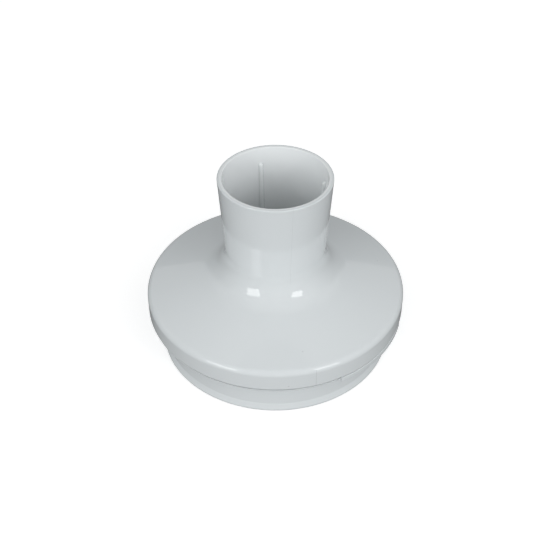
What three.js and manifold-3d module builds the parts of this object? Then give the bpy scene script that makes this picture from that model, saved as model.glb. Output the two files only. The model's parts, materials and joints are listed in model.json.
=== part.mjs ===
// Gearbox lid of a hand blender's chopper bowl.
// The motor handle plugs into the ribbed neck and turns a splined coupling. A planetary gear set under the
// neck's floor slows the drive four to one and turns the socket that drives the chopping blade below.
// Millimetres, +Z up. The origin is the centre of the face that the lower skirt stands on. Azimuths are
// degrees from -Y towards +X.
import * as THREE from "three";
import { mergeVertices } from "three/addons/utils/BufferGeometryUtils.js";
import Module from "manifold-3d";

const wasm = await Module();
wasm.setup();

// ---- driving dimensions ----
const gap = 0.3; // between faces that meet
const running = 0.09; // radial clearance of a shaft in its bore

const cover = {
  radius: 65,
  edgeZ: 32.6, // where the cone and the rim wall would meet
  edgeRound: 3.2,
  wallBottomZ: 21.7,
  wall: 2.1,
  slope: Math.tan(THREE.MathUtils.degToRad(16)),
  neckFillet: 15.5,
};
const neck = { topZ: 97.3, topRadius: 27.5, wall: 2.3, taper: 0.066, bottomZ: 45.3 };
const rib = { count: 4, width: 2.8, height: 1.4, belowRim: 8, azimuth: 17 };
const skirt = {
  radius: 56.6,
  wall: 2.2,
  footRadius: 58.6,
  footHeight: 4.4,
  flangeRadius: 63.9,
  flangeZ: 19.7,
  flangeTopZ: cover.wallBottomZ - gap,
};
const lug = { count: 2, radius: 64.9, innerRadius: 61, bottomZ: 18.6, start: 29, sweep: 45 };
const floor = { bottomZ: 15, thickness: 2.2 };
const gears = {
  module: 1,
  pressureAngle: THREE.MathUtils.degToRad(25),
  sunTeeth: 12,
  planetTeeth: 12,
  ringTeeth: 36,
  addendum: 0.95,
  dedendum: 1.25,
  backlash: 0.1, // taken off each tooth
  bottomZ: 31.4,
  height: 9,
};
const planets = { count: 3, pinRadius: 2, radius: (gears.module * (gears.sunTeeth + gears.planetTeeth)) / 2 };
const ring = { radius: 21.9, bottomZ: 28.4, topZ: 41.2 };
const gearbox = { wall: 2.1, plateZ: 42.4, plate: 2, bossRadius: 9, bossTopZ: 50.1 };
const carrier = { radius: 16.6, bottomZ: 28, thickness: 3, postRadius: 3.2, plateZ: 40.8, plate: 1.2 };
const inputShaft = { radius: 3.5, bottomZ: 31.1, topZ: 58 };
const outputShaft = { radius: 4, bottomZ: 8.9, topZ: 30.6 };
const driveCoupling = { radius: 9.5, bottomZ: 51.5, topZ: 66 };
const bladeCoupling = { radius: 8.5, bottomZ: 1.5, topZ: 12, socketTopZ: 8.4, flats: 9 };
const outputBoss = { radius: 10.6, bottomZ: 12.3, topZ: 26, bushRadius: 7, sealRadius: 8, sealTopZ: 16.1 };
const housingScrew = { count: 4, circle: 46, shank: 1.4, head: 2.9, headHeight: 2.1, topZ: 28 };
const gearboxScrew = { count: 3, circle: 27.3, shank: 1.35, head: 2.7, headHeight: 1.9, bottomZ: 20.5 };

const big = 40; // facets round the shells
const middle = 32;
const small = 18;
const fine = 12;

// ---- materials ----
const material = (color, roughness, metalness = 0) =>
  new THREE.MeshStandardMaterial({ color, roughness, metalness });
const shellPlastic = material(0xd3d8da, 0.2);
const gearboxPlastic = material(0xc9cbc8, 0.45);
const gearPlastic = material(0xe8e4d6, 0.4);
const couplingPlastic = material(0x4a4d50, 0.5);
const steel = material(0xb8babc, 0.3, 1);
const bronze = material(0xb08d57, 0.45, 1);
const rubber = material(0x2b2b2c, 0.8);

// ---- shaping tools ----
const radians = THREE.MathUtils.degToRad;

// Corner points [x, y, fillet] as an outline whose fillets are arcs of short straight steps.
function outline(corners, step = 0.8) {
  const points = [];
  corners.forEach(([x, y, fillet = 0], i) => {
    const here = new THREE.Vector2(x, y);
    const before = new THREE.Vector2(...corners.at(i - 1).slice(0, 2)).sub(here).normalize();
    const after = new THREE.Vector2(...corners[(i + 1) % corners.length].slice(0, 2)).sub(here).normalize();
    if (!fillet) {
      points.push(here);
      return;
    }
    const half = Math.acos(before.dot(after)) / 2;
    const turn = Math.PI - 2 * half;
    const centre = before.clone().add(after).normalize().multiplyScalar(fillet / Math.sin(half)).add(here);
    const start = before.clone().multiplyScalar(fillet / Math.tan(half)).add(here).sub(centre);
    const side = Math.sign(after.cross(before));
    const steps = Math.ceil(turn / step);
    for (let k = 0; k <= steps; k++)
      points.push(start.clone().rotateAround(new THREE.Vector2(), (side * turn * k) / steps).add(centre));
  });
  return points;
}

// A section of [radius, z, fillet] corners turned about the Z axis. Its corners run anticlockwise.
function turned(corners, facets, step) {
  const section = outline(corners, step);
  section.push(section[0].clone());
  return new THREE.LatheGeometry(section, facets).rotateX(Math.PI / 2);
}

// A tube or washer between two radii and two heights.
const tube = (inner, outer, bottom, top, facets) =>
  turned([[inner, bottom], [outer, bottom], [outer, top], [inner, top]], facets);

const disc = (radius, bottom, top, facets) =>
  new THREE.CylinderGeometry(radius, radius, top - bottom, facets)
    .rotateX(Math.PI / 2)
    .translate(0, 0, (top + bottom) / 2);

// A flat outline, with holes if any, raised from bottom to top.
function raised(points, bottom, top, holes = []) {
  const shape = new THREE.Shape(points);
  shape.holes = holes.map((hole) => new THREE.Path(hole));
  return new THREE.ExtrudeGeometry(shape, { depth: top - bottom, bevelEnabled: false }).translate(0, 0, bottom);
}

const circle = (radius, facets, x = 0, y = 0) =>
  Array.from({ length: facets }, (_, i) => {
    const a = (2 * Math.PI * i) / facets;
    return new THREE.Vector2(x + radius * Math.cos(a), y + radius * Math.sin(a));
  });

// Turns a geometry about Z by an azimuth in degrees, counted from -Y towards +X.
const about = (geometry, azimuth) => geometry.clone().rotateZ(radians(azimuth));

const azimuths = (count, first = 0) => Array.from({ length: count }, (_, i) => first + (360 / count) * i);

function solidOf(geometry) {
  const bare = geometry.clone().deleteAttribute("normal").deleteAttribute("uv");
  const merged = mergeVertices(bare, 1e-4);
  const mesh = { numProp: 3, vertProperties: merged.attributes.position.array };
  return new wasm.Manifold(new wasm.Mesh({ ...mesh, triVerts: new Uint32Array(merged.index.array) }));
}

function geometryOf(solid) {
  const mesh = solid.getMesh();
  return new THREE.BufferGeometry()
    .setAttribute("position", new THREE.BufferAttribute(mesh.vertProperties, 3))
    .setIndex(new THREE.BufferAttribute(mesh.triVerts, 1));
}

// One geometry with others joined to it, and then others cut from it.
function formed(base, added, cut) {
  let solid = solidOf(base);
  for (const geometry of added) solid = solid.add(solidOf(geometry));
  for (const geometry of cut) solid = solid.subtract(solidOf(geometry));
  return geometryOf(solid);
}

// ---- shells ----
const neckRadius = (z) => neck.topRadius - (neck.topZ - z) * neck.taper;
const boreRadius = (z) => neckRadius(z) - neck.wall;
const coneZ = (radius) => cover.edgeZ + (cover.radius - radius) * cover.slope;
const coneUnderside = (radius) => coneZ(radius) - cover.wall * Math.hypot(1, cover.slope);

// Where the neck's outside line meets the cone.
const neckFoot = (() => {
  const z = (coneZ(neckRadius(0))) / (1 + neck.taper * cover.slope);
  return [neckRadius(z), z];
})();

function neckRib() {
  const top = neck.topZ - rib.belowRim;
  const bottom = neck.bottomZ + 0.2;
  const half = rib.width / 2;
  const face = outline([[-half, bottom], [half, bottom], [half, top, half * 0.98], [-half, top, half * 0.98]]);
  const depth = rib.height + neck.wall / 2;
  const lean = Math.atan(neck.taper);
  const height = (top + bottom) / 2;
  return raised(face, -rib.height, neck.wall / 2)
    .translate(0, -height, 0)
    .rotateX(Math.PI / 2)
    .rotateX(lean)
    .translate(0, -boreRadius(height), height);
}

function topCover() {
  const inside = cover.radius - cover.wall;
  const shoulder = ring.radius + 0.2 + gearbox.wall + 0.6;
  const shell = turned(
    [
      [boreRadius(neck.topZ), neck.topZ, 0.5],
      [boreRadius(neck.bottomZ), neck.bottomZ],
      [shoulder, neck.bottomZ],
      [shoulder, coneUnderside(shoulder), 6],
      [inside, coneUnderside(inside), 1],
      [inside, cover.wallBottomZ],
      [cover.radius, cover.wallBottomZ, 0.4],
      [cover.radius, cover.edgeZ, cover.edgeRound],
      [...neckFoot, cover.neckFillet],
      [neck.topRadius, neck.topZ, 0.8],
    ],
    big,
    0.3,
  );
  const bossBottom = floor.bottomZ + floor.thickness + gap;
  const boss = disc(3.5, bossBottom, coneZ(housingScrew.circle + 3.5) - 0.6, small);
  const pilot = disc(housingScrew.shank + 0.1, bossBottom - 1, housingScrew.topZ + 1.5, fine);
  const places = azimuths(housingScrew.count, 45);
  const at = (geometry) => places.map((a) => about(geometry.clone().translate(0, -housingScrew.circle, 0), a));
  const ribs = azimuths(rib.count, rib.azimuth).map((a) => about(neckRib(), a));
  return formed(shell, [...at(boss), ...ribs], at(pilot));
}

function lockingLug() {
  const from = radians(lug.start - 90);
  const to = from + radians(lug.sweep);
  const steps = 8;
  const arc = (radius, reversed) =>
    Array.from({ length: steps + 1 }, (_, k) => {
      const a = from + ((to - from) * (reversed ? steps - k : k)) / steps;
      return new THREE.Vector2(radius * Math.cos(a), radius * Math.sin(a));
    });
  return raised([...arc(lug.radius, false), ...arc(lug.innerRadius, true)], lug.bottomZ, skirt.flangeTopZ);
}

function baseHousing() {
  const inner = skirt.radius - skirt.wall;
  const floorTop = floor.bottomZ + floor.thickness;
  const spigot = cover.radius - cover.wall - gap;
  const upstand = ring.radius + 0.2 + gearbox.wall;
  const upstandTop = ring.bottomZ - gap;
  const shell = turned(
    [
      [outputBoss.sealRadius + 0.1, outputBoss.bottomZ],
      [outputBoss.radius, outputBoss.bottomZ, 0.6],
      [outputBoss.radius, floor.bottomZ, 1],
      [inner, floor.bottomZ, 1.5],
      [inner, 0],
      [skirt.footRadius, 0, 0.8],
      [skirt.footRadius, skirt.footHeight, 0.9],
      [skirt.radius, skirt.footHeight + 1.1],
      [skirt.radius, skirt.flangeZ, 0.6],
      [skirt.flangeRadius, skirt.flangeZ, 0.4],
      [skirt.flangeRadius, skirt.flangeTopZ],
      [spigot, skirt.flangeTopZ],
      [spigot, skirt.flangeTopZ + 4],
      [spigot - 2, skirt.flangeTopZ + 4],
      [spigot - 2, skirt.flangeTopZ],
      [inner + 0.6, skirt.flangeTopZ],
      [inner + 0.6, floorTop],
      [upstand, floorTop],
      [upstand, upstandTop],
      [upstand - 4, upstandTop],
      [upstand - 4, floorTop],
      [outputBoss.radius, floorTop],
      [outputBoss.radius, outputBoss.topZ],
      [outputBoss.bushRadius + 0.1, outputBoss.topZ],
      [outputBoss.bushRadius + 0.1, outputBoss.sealTopZ],
      [outputBoss.sealRadius + 0.1, outputBoss.sealTopZ],
    ],
    big,
  );
  const screwBoss = disc(3.4, floorTop - 0.5, upstandTop, small).translate(0, -gearboxScrew.circle, 0);
  const pilot = disc(gearboxScrew.shank + 0.1, gearboxScrew.bottomZ - 1, upstandTop + 1, fine);
  const hole = disc(housingScrew.shank + 0.3, floor.bottomZ - 1, floorTop + 1, fine);
  const boxPlaces = azimuths(gearboxScrew.count, 60);
  return formed(
    shell,
    [...boxPlaces.map((a) => about(screwBoss, a)), ...azimuths(lug.count).map((a) => about(lockingLug(), a))],
    [
      ...boxPlaces.map((a) => about(pilot.clone().translate(0, -gearboxScrew.circle, 0), a)),
      ...azimuths(housingScrew.count, 45).map((a) => about(hole.clone().translate(0, -housingScrew.circle, 0), a)),
    ],
  );
}

function gearboxCover() {
  const inner = ring.radius + 0.2;
  const outer = inner + gearbox.wall;
  const plateTop = gearbox.plateZ + gearbox.plate;
  const cup = turned(
    [
      [inner, ring.bottomZ],
      [outer, ring.bottomZ],
      [outer, plateTop, 0.8],
      [gearbox.bossRadius, plateTop, 1.5],
      [gearbox.bossRadius, gearbox.bossTopZ, 0.8],
      [6.1, gearbox.bossTopZ],
      [6.1, gearbox.plateZ],
      [inner, gearbox.plateZ],
    ],
    middle,
  );
  const earTop = ring.bottomZ + 2.6;
  const ear = disc(3.4, ring.bottomZ, earTop, small).translate(0, -gearboxScrew.circle, 0);
  const hole = disc(gearboxScrew.shank + 0.25, ring.bottomZ - 1, earTop + 1, fine).translate(0, -gearboxScrew.circle, 0);
  const places = azimuths(gearboxScrew.count, 60);
  return formed(cup, places.map((a) => about(ear, a)), places.map((a) => about(hole, a)));
}

// ---- gears ----
const involute = (angle) => Math.tan(angle) - angle;

// Half the angle that a tooth of the given pitch thickness covers at a radius.
function halfTooth(teeth, thickness, radius) {
  const pitch = (gears.module * teeth) / 2;
  const base = pitch * Math.cos(gears.pressureAngle);
  const there = Math.acos(Math.min(1, base / radius));
  return thickness / (2 * pitch) + involute(gears.pressureAngle) - involute(there);
}

// The outline of a gear whose first tooth points along `turn`, or of a ring gear's tooth spaces.
function toothed(teeth, low, high, thickness, turn) {
  const base = (gears.module * teeth * Math.cos(gears.pressureAngle)) / 2;
  const flank = [low, Math.max(low, base), Math.max(low, base) * 0.45 + high * 0.55, high];
  const radii = low < base ? flank : flank.slice(1);
  const points = [];
  for (let i = 0; i < teeth; i++) {
    const middleAngle = turn + (2 * Math.PI * i) / teeth;
    const at = (radius, side) => {
      const a = middleAngle + side * halfTooth(teeth, thickness, radius);
      return new THREE.Vector2(radius * Math.cos(a), radius * Math.sin(a));
    };
    for (const radius of radii) points.push(at(radius, -1));
    for (const radius of radii.toReversed()) points.push(at(radius, 1));
  }
  return points;
}

const toothThickness = (Math.PI * gears.module) / 2 - gears.backlash;

function pinion(teeth, bore, turn) {
  const pitch = (gears.module * teeth) / 2;
  const teethOutline = toothed(teeth, pitch - gears.dedendum, pitch + gears.addendum, toothThickness, turn);
  return raised(teethOutline, gears.bottomZ, gears.bottomZ + gears.height, [circle(bore, small)]);
}

function ringGear() {
  const pitch = (gears.module * gears.ringTeeth) / 2;
  const space = (Math.PI * gears.module) / 2 + gears.backlash;
  const spaces = toothed(gears.ringTeeth, pitch - gears.addendum, pitch + gears.dedendum, space, Math.PI / gears.ringTeeth);
  return raised(circle(ring.radius, middle), ring.bottomZ, ring.topZ, [spaces]);
}

const planetPlaces = azimuths(planets.count).map((a) => {
  const turn = radians(a);
  return { turn, x: planets.radius * Math.cos(turn), y: planets.radius * Math.sin(turn) };
});

function planetPin() {
  return disc(planets.pinRadius, carrier.bottomZ + 0.2, carrier.plateZ + carrier.plate - 0.1, small);
}

function planetCarrier() {
  const top = carrier.bottomZ + carrier.thickness;
  const hole = planets.pinRadius + running;
  const holes = planetPlaces.map(({ x, y }) => circle(hole, small, x, y));
  const plate = raised(circle(carrier.radius, middle), carrier.bottomZ, top, [
    circle(outputShaft.radius + running, small),
    ...holes,
  ]);
  const post = disc(carrier.postRadius, top - 1, carrier.plateZ - gap, small).translate(planets.radius, 0, 0);
  return formed(plate, planetPlaces.map(({ turn }) => post.clone().rotateZ(turn + Math.PI / planets.count)), []);
}

function planetPlate() {
  const hole = planets.pinRadius + running;
  return raised(circle(carrier.radius, middle), carrier.plateZ, carrier.plateZ + carrier.plate, [
    circle(7.4, small),
    ...planetPlaces.map(({ x, y }) => circle(hole, small, x, y)),
  ]);
}

// ---- shafts, bushes and seals ----
function outputShaftRod() {
  const { radius, bottomZ, topZ } = outputShaft;
  const groove = outputBoss.sealTopZ + 0.15;
  return turned(
    [
      [0, bottomZ],
      [radius, bottomZ, 0.5],
      [radius, groove],
      [radius - 0.6, groove],
      [radius - 0.6, groove + 0.8],
      [radius, groove + 0.8],
      [radius, topZ],
      [0, topZ],
    ],
    small,
  );
}

function retainingRing() {
  const bottom = outputBoss.sealTopZ + 0.25;
  const washer = tube(outputShaft.radius - 0.5, 6.2, bottom, bottom + 0.6, small);
  const opening = new THREE.BoxGeometry(3, 8, 3).translate(0, -6, bottom);
  return formed(washer, [], [opening]);
}

function lowerBush() {
  const bore = outputShaft.radius + running;
  const bottom = outputBoss.sealTopZ + 1.05;
  const flange = outputBoss.topZ + 0.1;
  return turned(
    [
      [bore, bottom],
      [outputBoss.bushRadius, bottom],
      [outputBoss.bushRadius, flange],
      [outputBoss.bushRadius + 2.5, flange],
      [outputBoss.bushRadius + 2.5, flange + 1.1],
      [bore, flange + 1.1],
    ],
    small,
  );
}

function upperBush() {
  const bore = inputShaft.radius + running;
  const flange = gearbox.bossTopZ + 0.1;
  return turned(
    [
      [bore, gearbox.plateZ + 0.4],
      [6, gearbox.plateZ + 0.4],
      [6, flange],
      [7.6, flange],
      [7.6, flange + 1],
      [bore, flange + 1],
    ],
    small,
  );
}

function shaftSeal() {
  const { bottomZ, sealRadius, sealTopZ } = outputBoss;
  const lip = outputShaft.radius + running;
  const low = bottomZ + 0.2;
  const high = sealTopZ - 0.1;
  return turned(
    [[lip, low + 0.6], [lip + 1, low], [sealRadius, low], [sealRadius, high], [lip + 1.2, high], [lip, low + 1.6]],
    small,
  );
}

function driveCouplingCup() {
  const { radius, bottomZ, topZ } = driveCoupling;
  const body = turned([[0, bottomZ], [radius, bottomZ, 0.8], [radius, topZ, 0.8], [0, topZ]], middle);
  const lobes = 8;
  const star = Array.from({ length: 4 * lobes }, (_, i) => {
    const r = i % 4 < 2 ? 5.9 : 4.5;
    const a = (2 * Math.PI * (i - 0.5)) / (4 * lobes);
    return new THREE.Vector2(r * Math.cos(a), r * Math.sin(a));
  });
  const bore = disc(inputShaft.radius + running, bottomZ - 1, inputShaft.topZ + 1, small);
  return formed(body, [], [bore, raised(star, inputShaft.topZ + 0.4, topZ + 1)]);
}

function bladeCouplingCup() {
  const { radius, bottomZ, topZ, socketTopZ, flats } = bladeCoupling;
  const body = turned(
    [[0, bottomZ], [radius - 1, bottomZ, 0.6], [radius - 1, socketTopZ], [radius, socketTopZ + 1], [radius, topZ, 0.5], [0, topZ]],
    small,
  );
  const hexagon = circle(flats / 2 / Math.cos(Math.PI / 6), 6);
  const bore = disc(outputShaft.radius + running, socketTopZ - 1, topZ + 1, small);
  return formed(body, [], [bore, raised(hexagon, bottomZ - 1, socketTopZ)]);
}

// A pan-head screw standing on its head's underside at z, with its shank going down.
function screw({ shank, head, headHeight }, length) {
  const body = turned(
    [[0, -length], [shank, 1 - length], [shank, 0], [head, 0], [head, headHeight, 0.8], [0, headHeight]],
    fine,
    1.6,
  );
  const slot = (turn) => new THREE.BoxGeometry(head * 1.2, 0.7, 2).translate(0, 0, headHeight).rotateZ(turn);
  return formed(body, [], [slot(0), slot(Math.PI / 2)]);
}

// ---- assembly ----
const lid = new THREE.Group();

function place(name, geometry, finish, parent = lid) {
  const mesh = new THREE.Mesh(geometry, finish);
  mesh.name = name;
  parent.add(mesh);
  return mesh;
}

place("top_cover", topCover(), shellPlastic);
place("base_housing", baseHousing(), shellPlastic);
place("gearbox_cover", gearboxCover(), gearboxPlastic);
place("socket_gasket", tube(21.8, 24, neck.bottomZ - 0.8, neck.bottomZ - 0.1, middle), rubber);
place("ring_gear", ringGear(), gearPlastic);
place("upper_bush", upperBush(), bronze);
place("lower_bush", lowerBush(), bronze);
place("shaft_seal", shaftSeal(), rubber);

const inputTrain = new THREE.Group();
lid.add(inputTrain);
place("input_shaft", disc(inputShaft.radius, inputShaft.bottomZ, inputShaft.topZ, small), steel, inputTrain);
place("sun_gear", pinion(gears.sunTeeth, inputShaft.radius + running, 0), gearPlastic, inputTrain);
place("sun_washer", tube(inputShaft.radius + 0.1, 6.2, 40.7, 42.2, small), steel, inputTrain);
place("drive_coupling", driveCouplingCup(), couplingPlastic, inputTrain);

const outputTrain = new THREE.Group();
lid.add(outputTrain);
place("planet_carrier", planetCarrier(), couplingPlastic, outputTrain);
place("planet_plate", planetPlate(), steel, outputTrain);
place("output_shaft", outputShaftRod(), steel, outputTrain);
place("thrust_washer", tube(outputShaft.radius + 0.1, 9, 27.35, 27.85, small), steel, outputTrain);
place("retaining_ring", retainingRing(), steel, outputTrain);
place("blade_coupling", bladeCouplingCup(), couplingPlastic, outputTrain);

planetPlaces.forEach(({ turn, x, y }, i) => {
  const pin = place(`planet_pin_${i + 1}`, planetPin(), steel, outputTrain);
  pin.position.set(x, y, 0);
  const halfPitch = Math.PI / gears.planetTeeth;
  const gear = pinion(gears.planetTeeth, planets.pinRadius + running, turn + halfPitch);
  place(`planet_gear_${i + 1}`, gear, gearPlastic, outputTrain).position.set(x, y, 0);
});

azimuths(housingScrew.count, 45).forEach((azimuth, i) => {
  const a = radians(azimuth);
  const fastener = place(`housing_screw_${i + 1}`, screw(housingScrew, housingScrew.topZ - floor.bottomZ), steel);
  fastener.rotation.x = Math.PI; // its head is underneath
  fastener.position.set(housingScrew.circle * Math.sin(a), -housingScrew.circle * Math.cos(a), floor.bottomZ - 0.1);
});

azimuths(gearboxScrew.count, 60).forEach((azimuth, i) => {
  const a = radians(azimuth);
  const seat = ring.bottomZ + 2.6 + 0.1;
  const fastener = place(`gearbox_screw_${i + 1}`, screw(gearboxScrew, seat - gearboxScrew.bottomZ), steel);
  fastener.position.set(gearboxScrew.circle * Math.sin(a), -gearboxScrew.circle * Math.cos(a), seat);
});

export default lid;
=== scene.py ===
import bpy
import json
import math
from mathutils import Matrix, Vector


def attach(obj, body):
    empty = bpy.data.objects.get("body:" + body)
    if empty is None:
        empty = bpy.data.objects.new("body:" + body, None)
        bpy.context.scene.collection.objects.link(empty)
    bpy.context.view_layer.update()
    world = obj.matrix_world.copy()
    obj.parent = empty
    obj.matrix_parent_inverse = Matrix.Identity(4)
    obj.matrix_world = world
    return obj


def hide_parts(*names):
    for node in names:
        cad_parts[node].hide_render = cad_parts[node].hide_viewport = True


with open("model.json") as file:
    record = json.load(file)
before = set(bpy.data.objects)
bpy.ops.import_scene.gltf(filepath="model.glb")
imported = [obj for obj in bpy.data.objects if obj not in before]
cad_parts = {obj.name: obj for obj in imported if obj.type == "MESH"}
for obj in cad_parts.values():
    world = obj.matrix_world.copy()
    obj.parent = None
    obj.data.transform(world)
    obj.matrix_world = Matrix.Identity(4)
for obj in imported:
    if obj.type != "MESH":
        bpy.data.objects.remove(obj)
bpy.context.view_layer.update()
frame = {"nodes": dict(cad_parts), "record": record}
print("frame loaded:", len(frame["nodes"]), "nodes")

mm = 0.001
weld = 1e-7  # points nearer than this are one


# Shaping by hand: a primitive goes in, is worked in edit mode, and comes out with its place in its mesh.
def deselectAll():
    if bpy.context.object and bpy.context.object.mode != "OBJECT":
        bpy.ops.object.mode_set(mode="OBJECT")
    bpy.ops.object.select_all(action="DESELECT")


def named(name):  # the primitive just added
    piece = bpy.context.object
    piece.name = piece.data.name = name
    return piece


def makeActive(piece):
    deselectAll()
    piece.select_set(True)
    bpy.context.view_layer.objects.active = piece


def editAll(piece, kind="VERT"):  # into edit mode with all of it selected
    makeActive(piece)
    bpy.ops.object.mode_set(mode="EDIT")
    bpy.ops.mesh.select_mode(type=kind)
    bpy.ops.mesh.select_all(action="SELECT")


def shadeByAngle(piece, angle=32):
    makeActive(piece)
    bpy.ops.object.shade_smooth_by_angle(angle=math.radians(angle))
    return piece


def applyModifier(piece, kind, **settings):
    makeActive(piece)
    modifier = piece.modifiers.new(kind.title(), kind)
    for key, value in settings.items():
        setattr(modifier, key, value)
    bpy.ops.object.modifier_apply(modifier=modifier.name)


def softenEdges(piece, width, segments, sharperThan):
    limit = {"limit_method": "ANGLE", "angle_limit": math.radians(sharperThan)}
    applyModifier(piece, "BEVEL", width=width * mm, segments=segments, **limit)


def cutOut(piece, tool):
    applyModifier(piece, "BOOLEAN", operation="DIFFERENCE", object=tool, solver="EXACT")
    bpy.data.objects.remove(tool)


def twinOf(piece, name, matrix):  # a copy with its own mesh, moved within it
    twin = piece.copy()
    twin.data = piece.data.copy()
    twin.name = twin.data.name = name
    bpy.context.scene.collection.objects.link(twin)
    twin.data.transform(matrix)
    return twin


def aboutAxis(degrees):  # azimuths run from -Y towards +X
    return Matrix.Rotation(math.radians(degrees), 4, "Z")


def outwards(radius, height=0):  # a place at azimuth 0, in millimetres
    return Matrix.Translation((0, -radius * mm, height * mm))


bend = {"step": 0.1, "fewest": 4}  # radians to a step of a fillet
flat = {"long": 2, "step": 0.3}  # a long flat has short steps by its corners, which keep its shading true


# A section's (radius, height, fillet) corners, in millimetres, as points with each fillet rounded.
def sectionPoints(corners):
    spots = [Vector(corner[:2]) for corner in corners]
    arcs = []
    for i, corner in enumerate(corners):
        here, fillet = spots[i], corner[2] if len(corner) > 2 else 0
        if not fillet:
            arcs.append([here])
            continue
        before = (spots[i - 1] - here).normalized()
        after = (spots[(i + 1) % len(spots)] - here).normalized()
        half = before.angle(after) / 2
        centre = here + (before + after).normalized() * fillet / math.sin(half)
        start = here + before * fillet / math.tan(half) - centre
        sweep = math.copysign(math.pi - 2 * half, after.cross(before))
        steps = max(bend["fewest"], math.ceil(abs(sweep) / bend["step"]))
        turns = [Matrix.Rotation(sweep * k / steps, 2) for k in range(steps + 1)]
        arcs.append([centre + turn @ start for turn in turns])
    points = []
    for i, arc in enumerate(arcs):
        points += arc
        here, there = arc[-1], arcs[(i + 1) % len(arcs)][0]
        length = (there - here).length
        if length > flat["long"] and not (onAxis(here) and onAxis(there)):
            share = flat["step"] / length
            points += [here.lerp(there, share), here.lerp(there, 1 - share)]
    return points


def onAxis(point):
    return point.x < 1e-6


def turned(name, corners, steps=192, degrees=360):
    points = sectionPoints(corners)
    closing = [] if onAxis(points[0]) and onAxis(points[-1]) else points[:1]
    deselectAll()
    bpy.ops.mesh.primitive_plane_add(size=mm)
    piece = named(name)
    editAll(piece)
    bpy.ops.mesh.merge(type="CENTER")
    bpy.ops.transform.translate(value=(points[0].x * mm, 0, points[0].y * mm))
    for here, there in zip(points, points[1:] + closing):
        step = (there - here) * mm
        bpy.ops.mesh.extrude_region_move(TRANSFORM_OT_translate={"value": (step.x, 0, step.y)})
    bpy.ops.mesh.select_all(action="SELECT")
    bpy.ops.mesh.remove_doubles(threshold=weld)
    if degrees < 360:
        bpy.ops.mesh.edge_face_add()
    bpy.ops.mesh.spin(steps=steps, angle=math.radians(degrees), center=(0, 0, 0), axis=(0, 0, 1))
    bpy.ops.mesh.select_all(action="SELECT")
    bpy.ops.mesh.remove_doubles(threshold=2 * weld)
    bpy.ops.mesh.normals_make_consistent(inside=False)
    bpy.ops.object.mode_set(mode="OBJECT")
    if degrees < 360:  # it starts at -Y and runs towards +X
        piece.data.transform(aboutAxis(degrees - 90))
    return shadeByAngle(piece)


def prism(name, points, bottom, top):  # a flat outline in millimetres, raised
    deselectAll()
    bpy.ops.mesh.primitive_circle_add(vertices=len(points), radius=mm, fill_type="NGON")
    piece = named(name)
    for vertex, point in zip(piece.data.vertices, points):
        vertex.co = Vector((*point, bottom)) * mm
    editAll(piece, "FACE")
    bpy.ops.mesh.extrude_region_move(TRANSFORM_OT_translate={"value": (0, 0, (top - bottom) * mm)})
    bpy.ops.mesh.select_all(action="SELECT")
    bpy.ops.mesh.normals_make_consistent(inside=False)
    bpy.ops.object.mode_set(mode="OBJECT")
    return piece


def finished(piece, body, slot, *nodes):
    piece.data.materials.clear()
    piece.data.materials.append(finishes[slot])
    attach(piece, body)
    if nodes:
        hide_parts(*nodes)


# Shader maths on sockets.
class Wire:
    def __init__(self, shader, socket):
        self.shader, self.socket = shader, socket

    def math(self, operation, *values):
        return self.shader.add("ShaderNodeMath", {"operation": operation}, dict(enumerate(values)))

    def __add__(self, other):
        return self.math("ADD", self, other)

    def __radd__(self, other):
        return self.math("ADD", other, self)

    def __sub__(self, other):
        return self.math("SUBTRACT", self, other)

    def __rsub__(self, other):
        return self.math("SUBTRACT", other, self)

    def __mul__(self, other):
        return self.math("MULTIPLY", self, other)

    def __rmul__(self, other):
        return self.math("MULTIPLY", other, self)

    def __pow__(self, other):
        return self.math("POWER", self, other)

    def __lt__(self, other):
        return self.math("LESS_THAN", self, other)

    def __gt__(self, other):
        return self.math("GREATER_THAN", self, other)

    def __abs__(self):
        return self.math("ABSOLUTE", self)


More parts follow.
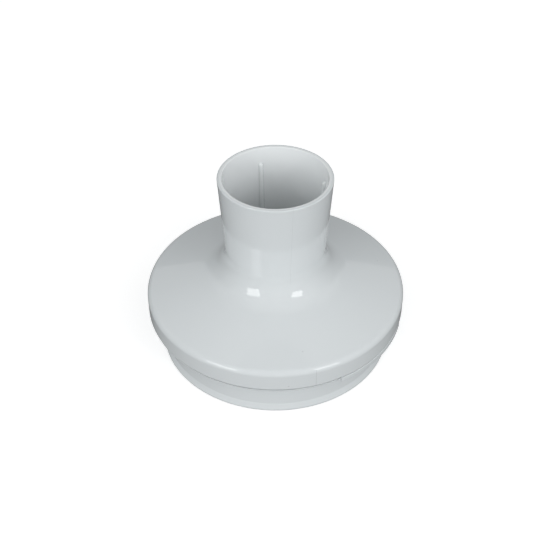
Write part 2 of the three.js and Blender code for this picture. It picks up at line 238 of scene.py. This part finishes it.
class Shader:
    def __init__(self, name):
        self.material = bpy.data.materials.new(name)
        self.material.use_nodes = True
        self.tree = self.material.node_tree
        self.tree.nodes.clear()

    def add(self, kind, settings=None, sockets=None, out=0):
        node = self.tree.nodes.new(kind)
        for key, value in (settings or {}).items():
            setattr(node, key, value)
        for key, value in (sockets or {}).items():
            if isinstance(value, Wire):
                self.tree.links.new(value.socket, node.inputs[key])
            else:
                node.inputs[key].default_value = value
        return Wire(self, node.outputs[out]) if node.outputs else None

    def place(self, stretch=(1, 1, 1)):  # where a point is on the object
        here = self.add("ShaderNodeTexCoord", out="Object")
        if stretch == (1, 1, 1):
            return here
        return self.add("ShaderNodeMapping", {"vector_type": "POINT"}, {"Vector": here, "Scale": stretch})

    def axis(self, which):
        return self.add("ShaderNodeSeparateXYZ", {}, {"Vector": self.place()}, which)

    def noise(self, scale, detail=3.0, rough=0.5, stretch=(1, 1, 1)):
        sockets = {"Vector": self.place(stretch), "Scale": scale, "Detail": detail, "Roughness": rough}
        return self.add("ShaderNodeTexNoise", {"noise_dimensions": "3D"}, sockets)

    def cells(self, scale, out="Distance"):
        return self.add("ShaderNodeTexVoronoi", {}, {"Vector": self.place(), "Scale": scale}, out)

    def steps(self, value, low, high):  # 0 below low and 1 above high
        settings = {"interpolation_type": "SMOOTHSTEP", "clamp": True}
        return self.add("ShaderNodeMapRange", settings, {"Value": value, "From Min": low, "From Max": high})

    def blend(self, share, first, second):  # of two colours
        colours = [colour if isinstance(colour, Wire) else (*colour, 1) for colour in (first, second)]
        settings = {"data_type": "RGBA", "blend_type": "MIX"}
        return self.add("ShaderNodeMix", settings, {0: share, 6: colours[0], 7: colours[1]}, 2)

    def bump(self, height, depth, under=None):
        sockets = {"Height": height, "Distance": depth, "Strength": 1.0}
        if under:
            sockets["Normal"] = under
        return self.add("ShaderNodeBump", {}, sockets)

    def surface(self, **sockets):
        body = self.add("ShaderNodeBsdfPrincipled", {}, sockets)
        self.add("ShaderNodeOutputMaterial", {}, {"Surface": body})
        return self.material


# Top cover's sizes, in millimetres, which its finish follows too
coverShape = {
    "rim": 65, "edgeHeight": 32.6, "edgeRound": 3.2, "wallBottom": 21.9, "wall": 2.1,
    "slope": math.tan(math.radians(16)), "neckFillet": 15.5,
    "neckTop": 97.3, "neckRadius": 27.5, "neckWall": 2.3, "taper": 0.066, "neckBottom": 45.3,
    "shoulder": 24.8, "shoulderFillet": 4, "lipInside": 0.35, "lipOutside": 0.55,
}


def neckAt(height):
    return coverShape["neckRadius"] - (coverShape["neckTop"] - height) * coverShape["taper"]


def coneAt(radius):
    return coverShape["edgeHeight"] + (coverShape["rim"] - radius) * coverShape["slope"]


# Materials: texture scales are in waves or cells to the metre
shellLook = {
    "base": (0.752, 0.787, 0.799), "shade": (0.734, 0.771, 0.783), "clouds": 22,
    # inner: painted light, a paler colour inside the neck that stands in for light bounced round the socket
    "inner": (0.865, 0.893, 0.900), "innerAbove": 44 * mm, "innerEdge": 0.4 * mm,
    "speck": (0.20, 0.21, 0.21), "specks": 150, "speckSize": 0.04, "speckPick": 0.88, "speckShare": 0.35,
    "rough": 0.012, "handled": 60, "handledRough": 0.012, "grain": 900, "grainRough": 0.006,
    "innerRough": 0.12,
    "waves": 38, "waveDepth": 0.16 * mm, "peel": 420, "peelGrain": 0.3, "peelDepth": 0.0006 * mm,
    "coat": 0.65, "coatRough": 0.003, "bending": 1.5,
}
seamLook = {  # the mould's parting line, on the rim's wall and on the neck
    "azimuth": 17, "halfWidth": 0.09 * mm, "soft": 0.6, "depth": 0.03 * mm, "rough": 0.2,
    "wallFrom": 64.4 * mm, "neckFrom": 24.2 * mm, "neckTo": 27.8 * mm, "neckAbove": 52 * mm,
    "onNeck": 0.10, "moreOnWall": 0.16, "outsideNeck": 50 * mm,
}


def seamMask(s, x, y, z, radius):
    look = seamLook
    a = math.radians(look["azimuth"])
    across = x * math.cos(a) + y * math.sin(a)
    along = x * math.sin(a) - y * math.cos(a)
    neck = (radius < look["neckTo"]) * (radius > look["neckFrom"]) * (z > look["neckAbove"])
    upright = (radius > look["wallFrom"]) + neck
    soft = look["halfWidth"] * look["soft"]
    line = 1 - s.steps(abs(across), look["halfWidth"] - soft, look["halfWidth"] + soft)
    return line * (along > 0) * upright


def glossShell():
    look, cover = shellLook, coverShape
    s = Shader("glossShell")
    grain, handled = s.noise(look["grain"], 4), s.noise(look["handled"], 5, 0.6)
    colour = s.blend(s.noise(look["clouds"], 2), look["base"], look["shade"])
    x, y, z = s.axis("X"), s.axis("Y"), s.axis("Z")
    radius = (x * x + y * y) ** 0.5
    # painted light: a shade paler inside the neck, standing in for light bounced round the socket, and less
    # polished there, from the middle of its wall inwards
    middle = (neckAt(0) - cover["neckWall"] / 2) * mm
    outside = s.steps(radius - z * cover["taper"], middle - look["innerEdge"], middle + look["innerEdge"])
    inside = (1 - outside) * (z > look["innerAbove"])
    colour = s.blend(inside, colour, look["inner"])
    # a few moulded-in specks
    pickCell = s.add("ShaderNodeSeparateColor", {}, {"Color": s.cells(look["specks"], "Color")})
    speck = (s.cells(look["specks"]) < look["speckSize"]) * (pickCell > look["speckPick"])
    colour = s.blend(speck * look["speckShare"], colour, look["speck"])
    seam = seamMask(s, x, y, z, radius)
    dark = seamLook["onNeck"] + (radius > seamLook["outsideNeck"]) * seamLook["moreOnWall"]
    colour = s.blend(seam * dark, colour, look["speck"])
    rough = look["rough"] + handled * look["handledRough"] + grain * look["grainRough"]
    rough = rough + seam * seamLook["rough"] + inside * look["innerRough"]
    waves = s.bump(s.noise(look["waves"], 1, 0.4), look["waveDepth"])
    peel = s.bump(grain * look["peelGrain"] + s.noise(look["peel"], 2), look["peelDepth"], waves)
    return s.surface(**{
        "Base Color": colour, "Roughness": rough, "Normal": s.bump(seam, seamLook["depth"], peel),
        "IOR": look["bending"], "Coat Weight": look["coat"], "Coat Roughness": look["coatRough"],
        "Coat IOR": look["bending"],
    })


satinLook = {
    "base": (0.42, 0.44, 0.44), "shade": (0.37, 0.39, 0.39), "clouds": 70, "rough": 0.38, "cloudRough": 0.12,
    "texture": 1500, "depth": 0.012 * mm,
}


def satinGearbox():
    look = satinLook
    s = Shader("satinGearbox")
    clouds = s.noise(look["clouds"], 4)
    return s.surface(**{
        "Base Color": s.blend(clouds, look["base"], look["shade"]),
        "Roughness": look["rough"] + clouds * look["cloudRough"],
        "Normal": s.bump(s.cells(look["texture"]), look["depth"]), "IOR": 1.5,
    })


nylonLook = {
    "base": (0.040, 0.043, 0.046), "rough": 0.42, "depth": 0.02 * mm,
    "fibre": (0.11, 0.115, 0.12), "fibres": 700, "fibreStretch": (1, 1, 0.18), "fibreRough": 0.14,
    "fibreEdge": (0.52, 0.72), "fibreShare": 0.5,
    "worn": (0.17, 0.175, 0.18), "wornShare": 0.4,
    "scuffs": 240, "scuffEdge": (0.62, 0.78), "scuffRough": 0.08,
}


def darkNylon():
    look = nylonLook
    s = Shader("darkNylon")
    fibres = s.steps(s.noise(look["fibres"], 5, 0.7, look["fibreStretch"]), *look["fibreEdge"])
    scuffs = s.steps(s.noise(look["scuffs"], 6, 0.75), *look["scuffEdge"])
    fibred = s.blend(fibres * look["fibreShare"], look["base"], look["fibre"])
    return s.surface(**{
        "Base Color": s.blend(scuffs * look["wornShare"], fibred, look["worn"]),
        "Roughness": look["rough"] + fibres * look["fibreRough"] - scuffs * look["scuffRough"],
        "Normal": s.bump(fibres + scuffs * -0.5, look["depth"]),
    })


acetalLook = {
    "base": (0.74, 0.70, 0.58), "shade": (0.66, 0.61, 0.48), "clouds": 140, "rough": 0.42,
    "grease": (0.42, 0.33, 0.17), "film": 95, "filmEdge": (0.55, 0.75), "filmShare": 0.35, "filmGloss": 0.22,
    "grain": 500, "depth": 0.02 * mm, "glow": 0.12, "glowDepth": 0.002,
}


def gearAcetal():
    look = acetalLook
    s = Shader("gearAcetal")
    clean = s.blend(s.noise(look["clouds"], 3), look["base"], look["shade"])
    film = s.steps(s.noise(look["film"], 5, 0.65), *look["filmEdge"])
    return s.surface(**{
        "Base Color": s.blend(film * look["filmShare"], clean, look["grease"]),
        "Roughness": look["rough"] - film * look["filmGloss"],
        "Normal": s.bump(s.noise(look["grain"], 4) + film * 0.6, look["depth"]),
        "Subsurface Weight": look["glow"], "Subsurface Scale": look["glowDepth"],
    })


steelLook = {
    "base": (0.56, 0.565, 0.57), "stain": (0.46, 0.465, 0.475), "stains": 120, "stainRough": 0.05,
    "rough": 0.24, "lines": 260, "lineStretch": (1, 1, 14), "lineRough": 0.16, "depth": 0.006 * mm,
}


def groundSteel():
    look = steelLook
    s = Shader("groundSteel")
    lines, stains = s.noise(look["lines"], 6, 0.7, look["lineStretch"]), s.noise(look["stains"], 4)
    return s.surface(**{
        "Base Color": s.blend(stains, look["base"], look["stain"]), "Metallic": 1.0,
        "Roughness": look["rough"] + lines * look["lineRough"] + stains * look["stainRough"],
        "Normal": s.bump(lines, look["depth"]),
    })


bronzeLook = {
    "base": (0.60, 0.40, 0.19), "shade": (0.50, 0.31, 0.13), "tone": 180, "rough": 0.52,
    "pore": (0.16, 0.10, 0.05), "pores": 1900, "poreEdge": (0.10, 0.32), "poreGloss": 0.14,
    "depth": 0.03 * mm,
}


def sinteredBronze():
    look = bronzeLook
    s = Shader("sinteredBronze")
    pores = s.steps(s.cells(look["pores"]), *look["poreEdge"])
    solid = s.blend(s.noise(look["tone"], 4), look["base"], look["shade"])
    return s.surface(**{
        "Base Color": s.blend(pores, look["pore"], solid), "Metallic": 0.9,
        "Roughness": look["rough"] - pores * look["poreGloss"], "Normal": s.bump(pores, look["depth"]),
    })


rubberLook = {
    "base": (0.016, 0.016, 0.017), "bloom": (0.055, 0.055, 0.057), "blooms": 90, "rough": 0.62,
    "bloomEdge": (0.35, 0.8), "bloomRough": 0.2, "grain": 1300, "depth": 0.01 * mm,
}


def blackRubber():
    look = rubberLook
    s = Shader("blackRubber")
    bloom = s.noise(look["blooms"], 5, 0.6)
    return s.surface(**{
        "Base Color": s.blend(s.steps(bloom, *look["bloomEdge"]), look["base"], look["bloom"]),
        "Roughness": look["rough"] + bloom * look["bloomRough"],
        "Normal": s.bump(s.noise(look["grain"], 3), look["depth"]),
    })


finishes = {
    "shell_plastic": glossShell(), "gearbox_plastic": satinGearbox(), "coupling_plastic": darkNylon(),
    "gear_plastic": gearAcetal(), "steel": groundSteel(), "bronze": sinteredBronze(), "rubber": blackRubber(),
}
for entry in frame["record"]["subparts"]:  # a node that no piece stands for keeps its slot's finish
    node = frame["nodes"][entry["node"]]
    node.data.materials.clear()
    node.data.materials.append(finishes[entry["material_slot"]])
print("materials made:", len(finishes))


# Top cover: the cone, the rim and the neck in one moulding
notchShape = {"azimuth": 28.3, "width": 1.0, "depth": 1.4, "height": 0.7}  # in the wall's lower edge


def underCone(radius):
    return coneAt(radius) - coverShape["wall"] * math.hypot(1, coverShape["slope"])


def makeTopCover():
    c, n = coverShape, notchShape
    inside = c["rim"] - c["wall"]
    neckFoot = coneAt(neckAt(0)) / (1 + c["taper"] * c["slope"])
    piece = turned("topCover", [
        (neckAt(c["neckTop"]) - c["neckWall"], c["neckTop"], c["lipInside"]),
        (neckAt(c["neckBottom"]) - c["neckWall"], c["neckBottom"], 0.3),
        (c["shoulder"], c["neckBottom"]),
        (c["shoulder"], underCone(c["shoulder"]), c["shoulderFillet"]),
        (inside, underCone(inside), 1),
        (inside, c["wallBottom"], 0.2),
        (c["rim"], c["wallBottom"], 0.55),
        (c["rim"], c["edgeHeight"], c["edgeRound"]),
        (neckAt(neckFoot), neckFoot, c["neckFillet"]),
        (c["neckRadius"], c["neckTop"], c["lipOutside"]),
    ], steps=256)
    half, near, far = n["width"] / 2, -c["rim"] + n["depth"], -c["rim"] - 1
    outline = [(-half, far), (half, far), (half, near), (-half, near)]
    notch = prism("notch", outline, c["wallBottom"] - 1, c["wallBottom"] + n["height"])
    notch.data.transform(aboutAxis(n["azimuth"]))
    cutOut(piece, notch)
    shadeByAngle(piece)
    finished(piece, "housing", "shell_plastic", "top_cover")


# Ribs that key the motor handle
ribShape = {"count": 4, "azimuth": 17, "halfWidth": 1.3, "proud": 1.3, "belowRim": 8, "deeper": 0.3}


def makeNeckRibs():
    r, c = ribShape, coverShape
    top, bottom = c["neckTop"] - r["belowRim"], c["neckBottom"] + 0.2
    rib = turned("neckRib", [
        (0, bottom - 2), (r["halfWidth"], bottom - 2), (r["halfWidth"], top, r["halfWidth"] * 0.98), (0, top),
    ], steps=40)
    editAll(rib)  # a straight cut at its foot keeps it out of the socket's floor
    bpy.ops.mesh.bisect(plane_co=(0, 0, bottom * mm), plane_no=(0, 0, -1), use_fill=True, clear_outer=True)
    bpy.ops.object.mode_set(mode="OBJECT")
    flatten = Matrix.Diagonal((1, (r["proud"] + r["deeper"]) / r["halfWidth"], 1, 1))
    lean = Matrix.Rotation(math.atan(c["taper"]), 4, "X")
    middle = (top + bottom) / 2
    out = outwards(neckAt(middle) - c["neckWall"] + r["deeper"], middle) @ lean @ outwards(0, -middle)
    for k in range(r["count"]):
        turn = aboutAxis(r["azimuth"] + k * 360 / r["count"])
        twin = twinOf(rib, f"neckRib_{k + 1}", turn @ out @ flatten)
        finished(shadeByAngle(twin, 45), "housing", "shell_plastic")
    bpy.data.objects.remove(rib)


# Screw bosses under the cone
bossShape = {
    "count": 4, "azimuth": 45, "circle": 46, "radius": 3.5, "bore": 1.5, "bottom": 17.5, "boreTop": 29.5,
    "belowCone": 0.8,
}


def makeScrewBosses():
    b = bossShape
    top = coneAt(b["circle"] + b["radius"]) - b["belowCone"]
    boss = turned("coverBoss", [
        (0, b["boreTop"]), (b["bore"], b["boreTop"]), (b["bore"], b["bottom"]),
        (b["radius"], b["bottom"], 0.3), (b["radius"], top), (0, top),
    ], steps=32)
    for k in range(b["count"]):
        turn = aboutAxis(b["azimuth"] + k * 360 / b["count"])
        twin = twinOf(boss, f"coverBoss_{k + 1}", turn @ outwards(b["circle"]))
        finished(twin, "housing", "shell_plastic")
    bpy.data.objects.remove(boss)


# Base housing: the flange, the skirt, the foot ring and the floor in one moulding
baseShape = {
    "skirt": 56.6, "wall": 2.2, "foot": 58.6, "footEdge": 1.35, "footHeight": 4.4, "footFlare": 1.1,
    "flange": 64.3, "flangeBottom": 19.95, "flangeTop": 20.8,
    "spigot": 61.6, "spigotWall": 2, "spigotHeight": 4, "shelf": 0.6,
    "floorBottom": 15, "floorTop": 17.2,
    "ringInner": 20.8, "ringOuter": 22.2, "ringSlope": 0.8, "ringDrop": 0.5,
    "upstand": 24.2, "upstandWall": 4, "upstandTop": 28.1,
    "boss": 10.6, "bossTop": 26, "bossBottom": 12.3, "bushBore": 7.1, "sealBore": 8.1, "sealTop": 16.1,
}


def makeBaseHousing():
    b = baseShape
    inner = b["skirt"] - b["wall"]
    ringBottom = b["floorBottom"] - b["ringDrop"]
    spigotInner, spigotTop = b["spigot"] - b["spigotWall"], b["flangeTop"] + b["spigotHeight"]
    upstandInner = b["upstand"] - b["upstandWall"]
    piece = turned("baseHousing", [
        (b["sealBore"], b["bossBottom"], 0.3),
        (b["boss"], b["bossBottom"], 0.6),
        (b["boss"], b["floorBottom"], 1),
        (b["ringInner"] - b["ringSlope"], b["floorBottom"], 0.6),
        (b["ringInner"], ringBottom, 0.4),
        (b["ringOuter"], ringBottom, 0.4),
        (b["ringOuter"] + b["ringSlope"], b["floorBottom"], 0.6),
        (inner, b["floorBottom"], 1.5),
        (inner, 0, 0.4),
        (b["foot"], 0, 0.95),
        (b["foot"], b["footEdge"], 0.3),
        (b["foot"] - b["footFlare"], b["footHeight"], 0.5),
        (b["skirt"], b["flangeBottom"], 0.6),
        (b["flange"], b["flangeBottom"], 0.6),
        (b["flange"], b["flangeTop"], 0.15),
        (b["spigot"], b["flangeTop"]),
        (b["spigot"], spigotTop, 0.5),
        (spigotInner, spigotTop, 0.5),
        (spigotInner, b["flangeTop"]),
        (inner + b["shelf"], b["flangeTop"]),
        (inner + b["shelf"], b["floorTop"], 1),
        (b["upstand"], b["floorTop"], 1),
        (b["upstand"], b["upstandTop"]),
        (upstandInner, b["upstandTop"]),
        (upstandInner, b["floorTop"], 0.6),
        (b["boss"], b["floorTop"], 0.6),
        (b["boss"], b["bossTop"], 0.3),
        (b["bushBore"], b["bossTop"]),
        (b["bushBore"], b["sealTop"]),
        (b["sealBore"], b["sealTop"]),
    ], steps=224)
    finished(piece, "housing", "shell_plastic", "base_housing")


# Two lugs on the flange lock the lid to the bowl
lugShape = {
    "azimuth": 29, "sweep": 45, "outer": 64.9, "inner": 61, "bottom": 18.6, "top": 21.3, "round": 0.35,
}


def makeLockingLugs():
    g = lugShape
    lug = turned("lockingLug_1", [
        (g["outer"], g["bottom"], g["round"]), (g["outer"], g["top"], g["round"]),
        (g["inner"], g["top"]), (g["inner"], g["bottom"]),
    ], steps=36, degrees=g["sweep"])
    softenEdges(lug, width=0.25, segments=2, sharperThan=50)
    shadeByAngle(lug, 40)
    twin = twinOf(lug, "lockingLug_2", aboutAxis(g["azimuth"] + 180))
    lug.data.transform(aboutAxis(g["azimuth"]))
    for each in (lug, twin):
        finished(each, "housing", "shell_plastic")


# Gearbox cover: the floor of the motor socket, with ears for its screws
gearboxShape = {
    "inner": 22.1, "outer": 24.2, "bottom": 28.4, "plate": 42.4, "plateTop": 44.4,
    "boss": 9, "bossTop": 50.1, "bore": 6.1,
}
earShape = {"count": 3, "azimuth": 60, "circle": 27.3, "radius": 3.4, "bore": 1.6, "thickness": 2.6}


def makeGearboxCover():
    g, e = gearboxShape, earShape
    piece = turned("gearboxCover", [
        (g["inner"], g["bottom"]), (g["outer"], g["bottom"], 0.3), (g["outer"], g["plateTop"], 0.8),
        (g["boss"], g["plateTop"], 1.5), (g["boss"], g["bossTop"], 0.8), (g["bore"], g["bossTop"]),
        (g["bore"], g["plate"]), (g["inner"], g["plate"], 0.5),
    ], steps=128)
    finished(piece, "housing", "gearbox_plastic", "gearbox_cover")
    earTop = g["bottom"] + e["thickness"]
    ear = turned("gearboxEar", [
        (e["bore"], g["bottom"]), (e["radius"], g["bottom"], 0.3),
        (e["radius"], earTop, 0.3), (e["bore"], earTop),
    ], steps=40)
    for k in range(e["count"]):
        turn = aboutAxis(e["azimuth"] + k * 360 / e["count"])
        twin = twinOf(ear, f"gearboxEar_{k + 1}", turn @ outwards(e["circle"]))
        finished(twin, "housing", "gearbox_plastic")
    bpy.data.objects.remove(ear)


# Drive coupling: a lobed socket on the input shaft
driveShape = {
    "radius": 9.5, "neck": 8.3, "neckHeight": 4, "bottom": 51.5, "top": 66,
    "mouth": 3.6, "floor": 58.4, "bore": 3.55,
    "lobes": 8, "lobeOuter": 5.9, "lobeInner": 4.5,
}
inputShaftShape = {"radius": 3.5, "bottom": 31.1, "top": 58}


def lobed(outer, inner, lobes):
    points = []
    for i in range(4 * lobes):
        a = 2 * math.pi * (i - 0.5) / (4 * lobes)
        r = outer if i % 4 < 2 else inner
        points.append((r * math.cos(a), r * math.sin(a)))
    return points


def makeDriveCoupling():
    d, i = driveShape, inputShaftShape
    step = d["bottom"] + d["neckHeight"]
    piece = turned("driveCoupling", [
        (d["bore"], d["bottom"], 0.2), (d["neck"], d["bottom"], 0.6), (d["neck"], step, 0.3),
        (d["radius"], step + 1, 0.5), (d["radius"], d["top"], 1.0),
        (d["mouth"], d["top"]), (d["bore"], d["floor"]),
    ], steps=96)
    cutOut(piece, prism("lobes", lobed(d["lobeOuter"], d["lobeInner"], d["lobes"]), d["floor"], d["top"] + 2))
    softenEdges(piece, width=0.22, segments=3, sharperThan=34)
    shadeByAngle(piece, 30)
    finished(piece, "input", "coupling_plastic", "drive_coupling")
    shaft = turned("inputShaft", [
        (0, i["bottom"]), (i["radius"], i["bottom"], 0.5), (i["radius"], i["top"], 0.6), (0, i["top"]),
    ], steps=64)
    finished(shaft, "input", "steel", "input_shaft")


# Blade coupling: a hexagonal socket on the output shaft
bladeShape = {
    "radius": 8.5, "nose": 7.5, "bottom": 1.5, "top": 12, "socketTop": 8.4,
    "flats": 9, "pilot": 3.6, "bore": 4.05,
}
outputShaftShape = {
    "radius": 4, "bottom": 8.9, "top": 30.6, "groove": 16.25, "grooveDepth": 0.6, "grooveWidth": 0.8,
}


def makeBladeCoupling():
    b = bladeShape
    piece = turned("bladeCoupling", [
        (b["pilot"], b["bottom"]), (b["nose"], b["bottom"], 0.6), (b["nose"], b["socketTop"], 0.3),
        (b["radius"], b["socketTop"] + 1, 0.3), (b["radius"], b["top"], 0.5), (b["bore"], b["top"], 0.2),
        (b["bore"], b["socketTop"]), (b["pilot"], b["socketTop"]),
    ], steps=96)
    corner = b["flats"] / 2 / math.cos(math.pi / 6)
    turns = [k * math.pi / 3 for k in range(6)]
    hexagon = [(corner * math.cos(turn), corner * math.sin(turn)) for turn in turns]
    cutOut(piece, prism("hexagon", hexagon, b["bottom"] - 2, b["socketTop"]))
    softenEdges(piece, width=0.2, segments=3, sharperThan=34)
    shadeByAngle(piece, 30)
    finished(piece, "output", "coupling_plastic", "blade_coupling")


def makeOutputShaft():
    o = outputShaftShape
    low, high, bed = o["groove"], o["groove"] + o["grooveWidth"], o["radius"] - o["grooveDepth"]
    shaft = turned("outputShaft", [
        (0, o["bottom"]), (o["radius"], o["bottom"], 0.6), (o["radius"], low), (bed, low), (bed, high),
        (o["radius"], high), (o["radius"], o["top"], 0.4), (0, o["top"]),
    ], steps=64)
    finished(shaft, "output", "steel", "output_shaft")


# Shaft seal: a lip on the shaft and a shallow channel in its face
sealShape = {
    "lip": 4.1, "lead": 5.1, "throat": 5.3, "outer": 8,
    "bottom": 12.5, "top": 16, "lipBottom": 13.1, "lipTop": 14.1,
    "channel": 6.3, "channelFloor": 0.2, "channelMouth": 0.4, "channelDepth": 0.4,
}


def makeShaftSeal():
    s = sealShape
    bed = s["bottom"] + s["channelDepth"]
    seal = turned("shaftSeal", [
        (s["lip"], s["lipBottom"]), (s["lead"], s["bottom"], 0.2),
        (s["channel"] - s["channelMouth"], s["bottom"], 0.2), (s["channel"] - s["channelFloor"], bed, 0.2),
        (s["channel"] + s["channelFloor"], bed, 0.2), (s["channel"] + s["channelMouth"], s["bottom"], 0.2),
        (s["outer"], s["bottom"], 0.3), (s["outer"], s["top"], 0.3), (s["throat"], s["top"]),
        (s["lip"], s["lipTop"]),
    ], steps=96)
    finished(seal, "housing", "rubber", "shaft_seal")


# Screws: a pan head with a cross recess
screwShapes = {
    "housing_screw": {"count": 4, "azimuth": 45, "circle": 46, "shank": 1.4, "head": 2.9,
                      "headHeight": 2.1, "seat": 14.9, "length": 13, "down": True},
    "gearbox_screw": {"count": 3, "azimuth": 60, "circle": 27.3, "shank": 1.35, "head": 2.7,
                      "headHeight": 1.9, "seat": 31.1, "length": 10.6, "down": False},
}
crossShape = {"reach": 0.62, "halfArm": 0.34, "narrowing": 0.8, "depth": 1.1}  # reach: a share of the head
driven = {"first": 0.3, "next": 0.7}  # how far round each screw stopped, in radians


def crossOutline(head):
    arm, half = head * crossShape["reach"], crossShape["halfArm"]
    tip = half * crossShape["narrowing"]
    corners = [(half, half), (arm, tip), (arm, -tip), (half, -half)]
    quarters = ((1, 0), (0, -1), (-1, 0), (0, 1))
    return [(x * c - y * q, x * q + y * c) for c, q in quarters for x, y in corners]


def makeScrews():
    for node, s in screwShapes.items():
        piece = turned("screw", [
            (0, -s["length"]), (s["shank"], 1 - s["length"], 0.2), (s["shank"], 0), (s["head"], 0, 0.25),
            (s["head"], s["headHeight"], 1.1), (0, s["headHeight"]),
        ], steps=48)
        bottom = s["headHeight"] - crossShape["depth"]
        cutOut(piece, prism("recess", crossOutline(s["head"]), bottom, s["headHeight"] + 1))
        softenEdges(piece, width=0.06, segments=2, sharperThan=50)
        shadeByAngle(piece, 35)
        over = Matrix.Rotation(math.pi, 4, "X") if s["down"] else Matrix.Identity(4)
        for k in range(s["count"]):
            turn = aboutAxis(s["azimuth"] + k * 360 / s["count"])
            spin = Matrix.Rotation(driven["next"] * k + driven["first"], 4, "Z")
            name = node.replace("_screw", "Screw") + f"_{k + 1}"
            twin = twinOf(piece, name, turn @ outwards(s["circle"], s["seat"]) @ spin @ over)
            finished(twin, "housing", "steel", f"{node}_{k + 1}")
        bpy.data.objects.remove(piece)


for make in (makeTopCover, makeNeckRibs, makeScrewBosses, makeBaseHousing, makeLockingLugs, makeGearboxCover,
             makeDriveCoupling, makeBladeCoupling, makeOutputShaft, makeShaftSeal, makeScrews):
    make()
    print("made:", make.__name__)


# Floor, lights and camera
stageLook = {
    "size": 6.0, "height": -0.1 * mm, "colour": (0.85, 0.85, 0.85),
    "patches": 3, "darker": 0.99, "rough": 0.9, "glow": 0.58, "sky": (0.97, 1.0, 1.02), "skyStrength": 0.20,
}
# Where each light stands in metres, its size and how bright its face is: the canopy is level, the rest aim in.
lights = {
    "leftBox": {"at": (-0.786, -0.872, 0.47), "size": (0.5, 0.5), "bright": 2.9},
    "rightBox": {"at": (0.775, -0.88, 0.60), "size": (0.42, 0.42), "bright": 3.2},
    "frontWall": {"at": (0, -1.35, 0.76), "size": (3.4, 1.5), "bright": 1.28, "mirrored": False},
    "leftWall": {"at": (-1.75, 0, 0.75), "size": (2.4, 1.4), "bright": 0.38, "mirrored": False},
    "rightWall": {"at": (1.75, 0, 0.75), "size": (2.4, 1.4), "bright": 0.82, "mirrored": False},
    "canopyFront": {"at": (0, -0.26, 1.6), "size": (6.0, 1.18), "bright": 0.10, "level": True},
    "canopyRear": {"at": (0, 1.69, 1.6), "size": (6.0, 2.72), "bright": 0.32, "level": True},
}
lightsAim = Vector((0, 0, 0.04))
cameraView = {
    "at": (0, -0.3668, 0.35055), "pitch": 40.46, "lens": 62.30, "sensor": 36, "shift": (-0.0008, -0.0023),
    "near": 0.01, "far": 20,
}


def makeFloor():
    look = stageLook
    s = Shader("paleFloor")
    shade = tuple(value * look["darker"] for value in look["colour"])
    colour = s.blend(s.noise(look["patches"], 2), look["colour"], shade)
    deselectAll()
    bpy.ops.mesh.primitive_plane_add(size=look["size"], location=(0, 0, look["height"]))
    floor = named("floor")
    bpy.ops.object.transform_apply(location=True, rotation=True, scale=True)
    floor.data.materials.append(s.surface(**{
        "Base Color": colour, "Roughness": look["rough"],
        "Emission Color": colour, "Emission Strength": look["glow"],
    }))
    floor.visible_glossy = floor.visible_diffuse = False  # the object is lit as if over a dark sweep


def makeSky():
    world = bpy.data.worlds.new("studio")
    bpy.context.scene.world = world
    world.use_nodes = True
    sky = world.node_tree.nodes["Background"]
    sky.inputs["Color"].default_value = (*stageLook["sky"], 1)
    sky.inputs["Strength"].default_value = stageLook["skyStrength"]


def makeLights():
    for name, light in lights.items():
        data = bpy.data.lights.new(name, "AREA")
        data.shape = "RECTANGLE"
        data.size, data.size_y = light["size"]
        data.energy = math.pi * light["bright"] * data.size * data.size_y
        lamp = bpy.data.objects.new(name, data)
        bpy.context.scene.collection.objects.link(lamp)
        lamp.location = light["at"]
        lamp.visible_glossy = light.get("mirrored", True)
        if "level" not in light:
            lamp.rotation_euler = (lightsAim - lamp.location).to_track_quat("-Z", "Y").to_euler()


def makeCamera():
    view = cameraView
    data = bpy.data.cameras.new("view")
    data.lens, data.sensor_width = view["lens"], view["sensor"]
    data.shift_x, data.shift_y = view["shift"]
    data.clip_start, data.clip_end = view["near"], view["far"]
    camera = bpy.data.objects.new("view", data)
    bpy.context.scene.collection.objects.link(camera)
    camera.location = view["at"]
    camera.rotation_euler = (math.radians(90 - view["pitch"]), 0, 0)
    bpy.context.scene.camera = camera


for make in (makeFloor, makeSky, makeLights, makeCamera):
    make()
bpy.context.scene.view_settings.view_transform = "Standard"
bpy.context.scene.view_settings.look = "None"
print("stage and camera set")
